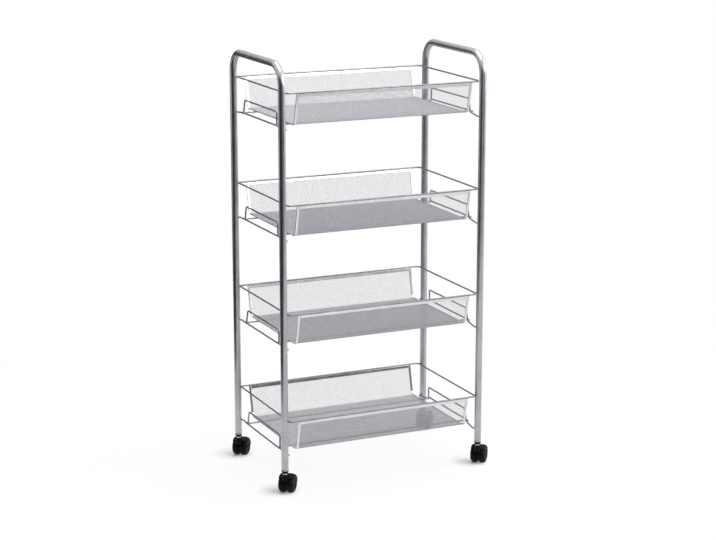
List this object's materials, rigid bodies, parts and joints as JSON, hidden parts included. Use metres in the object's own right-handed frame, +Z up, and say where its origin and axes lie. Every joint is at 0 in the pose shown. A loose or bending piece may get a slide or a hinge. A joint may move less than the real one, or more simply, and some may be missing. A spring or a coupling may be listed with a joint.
{
  "type": "mesh rolling cart",
  "caption": "Tall rolling cart of bent steel tube with open wire and mesh baskets on swivelling twin-wheel casters, for storing and moving small goods.",
  "frame": {"origin": "on the floor, midway between the four posts", "axes": "+Z up, +X along the baskets to the right, +Y to the rear"},
  "size_m": [0.4701, 0.2947, 0.85],
  "materials": {
    "silver_tube": "glossy metallic silver enamel",
    "silver_wire": "glossy metallic silver enamel",
    "mesh_sheet": "satin metallic silver enamel",
    "hem_strip": "satin metallic silver enamel",
    "bright_steel": "bright zinc plate",
    "socket_plastic": "moulded black",
    "caster_plastic": "moulded black, satin",
    "wheel_plastic": "moulded black nylon"
  },
  "bodies": {
    "cart": {"left_frame": "silver_tube", "right_frame": "silver_tube", "bottom_rim_wire": "silver_wire", "bottom_floor_mesh": "mesh_sheet", "bottom_front_mesh": "mesh_sheet", "bottom_rear_mesh": "mesh_sheet", "bottom_edge_hem": "hem_strip", "bottom_left_guard": "silver_wire", "bottom_right_guard": "silver_wire", "bottom_floor_rods": "silver_wire", "lower_rim_wire": "silver_wire", "lower_floor_mesh": "mesh_sheet", "lower_front_mesh": "mesh_sheet", "lower_rear_mesh": "mesh_sheet", "lower_edge_hem": "hem_strip", "lower_left_guard": "silver_wire", "lower_right_guard": "silver_wire", "lower_floor_rods": "silver_wire", "upper_rim_wire": "silver_wire", "upper_floor_mesh": "mesh_sheet", "upper_front_mesh": "mesh_sheet", "upper_rear_mesh": "mesh_sheet", "upper_edge_hem": "hem_strip", "upper_left_guard": "silver_wire", "upper_right_guard": "silver_wire", "upper_floor_rods": "silver_wire", "top_rim_wire": "silver_wire", "top_floor_mesh": "mesh_sheet", "top_front_mesh": "mesh_sheet", "top_rear_mesh": "mesh_sheet", "top_edge_hem": "hem_strip", "top_left_guard": "silver_wire", "top_right_guard": "silver_wire", "top_floor_rods": "silver_wire", "left_front_caster_socket": "socket_plastic", "left_rear_caster_socket": "socket_plastic", "right_front_caster_socket": "socket_plastic", "right_rear_caster_socket": "socket_plastic"},
    "left_front_caster": {"left_front_caster_stem": "bright_steel", "left_front_caster_housing": "caster_plastic", "left_front_caster_axle": "bright_steel"},
    "left_front_left_wheel": {"left_front_caster_left_wheel": "wheel_plastic"},
    "left_front_right_wheel": {"left_front_caster_right_wheel": "wheel_plastic"},
    "left_rear_caster": {"left_rear_caster_stem": "bright_steel", "left_rear_caster_housing": "caster_plastic", "left_rear_caster_axle": "bright_steel"},
    "left_rear_left_wheel": {"left_rear_caster_left_wheel": "wheel_plastic"},
    "left_rear_right_wheel": {"left_rear_caster_right_wheel": "wheel_plastic"},
    "right_front_caster": {"right_front_caster_stem": "bright_steel", "right_front_caster_housing": "caster_plastic", "right_front_caster_axle": "bright_steel"},
    "right_front_left_wheel": {"right_front_caster_left_wheel": "wheel_plastic"},
    "right_front_right_wheel": {"right_front_caster_right_wheel": "wheel_plastic"},
    "right_rear_caster": {"right_rear_caster_stem": "bright_steel", "right_rear_caster_housing": "caster_plastic", "right_rear_caster_axle": "bright_steel"},
    "right_rear_left_wheel": {"right_rear_caster_left_wheel": "wheel_plastic"},
    "right_rear_right_wheel": {"right_rear_caster_right_wheel": "wheel_plastic"}
  },
  "joints": [
    {"name": "left_front_swivel", "type": "hinge", "parent": "cart", "child": "left_front_caster", "pos_m": [-0.213, -0.125, 0.05], "axis": [0, 0, 1], "continuous": true},
    {"name": "left_front_left_wheel_spin", "type": "hinge", "parent": "left_front_caster", "child": "left_front_left_wheel", "pos_m": [-0.20316, -0.11368, 0.018], "axis": [0.7547, -0.6561, 0], "continuous": true},
    {"name": "left_front_right_wheel_spin", "type": "hinge", "parent": "left_front_caster", "child": "left_front_right_wheel", "pos_m": [-0.20316, -0.11368, 0.018], "axis": [0.7547, -0.6561, 0], "continuous": true},
    {"name": "left_rear_swivel", "type": "hinge", "parent": "cart", "child": "left_rear_caster", "pos_m": [-0.213, 0.125, 0.05], "axis": [0, 0, 1], "continuous": true},
    {"name": "left_rear_left_wheel_spin", "type": "hinge", "parent": "left_rear_caster", "child": "left_rear_left_wheel", "pos_m": [-0.20316, 0.13632, 0.018], "axis": [0.7547, -0.6561, 0], "continuous": true},
    {"name": "left_rear_right_wheel_spin", "type": "hinge", "parent": "left_rear_caster", "child": "left_rear_right_wheel", "pos_m": [-0.20316, 0.13632, 0.018], "axis": [0.7547, -0.6561, 0], "continuous": true},
    {"name": "right_front_swivel", "type": "hinge", "parent": "cart", "child": "right_front_caster", "pos_m": [0.213, -0.125, 0.05], "axis": [0, 0, 1], "continuous": true},
    {"name": "right_front_left_wheel_spin", "type": "hinge", "parent": "right_front_caster", "child": "right_front_left_wheel", "pos_m": [0.22284, -0.11368, 0.018], "axis": [0.7547, -0.6561, 0], "continuous": true},
    {"name": "right_front_right_wheel_spin", "type": "hinge", "parent": "right_front_caster", "child": "right_front_right_wheel", "pos_m": [0.22284, -0.11368, 0.018], "axis": [0.7547, -0.6561, 0], "continuous": true},
    {"name": "right_rear_swivel", "type": "hinge", "parent": "cart", "child": "right_rear_caster", "pos_m": [0.213, 0.125, 0.05], "axis": [0, 0, 1], "continuous": true},
    {"name": "right_rear_left_wheel_spin", "type": "hinge", "parent": "right_rear_caster", "child": "right_rear_left_wheel", "pos_m": [0.22284, 0.13632, 0.018], "axis": [0.7547, -0.6561, 0], "continuous": true},
    {"name": "right_rear_right_wheel_spin", "type": "hinge", "parent": "right_rear_caster", "child": "right_rear_right_wheel", "pos_m": [0.22284, 0.13632, 0.018], "axis": [0.7547, -0.6561, 0], "continuous": true}
  ]
}
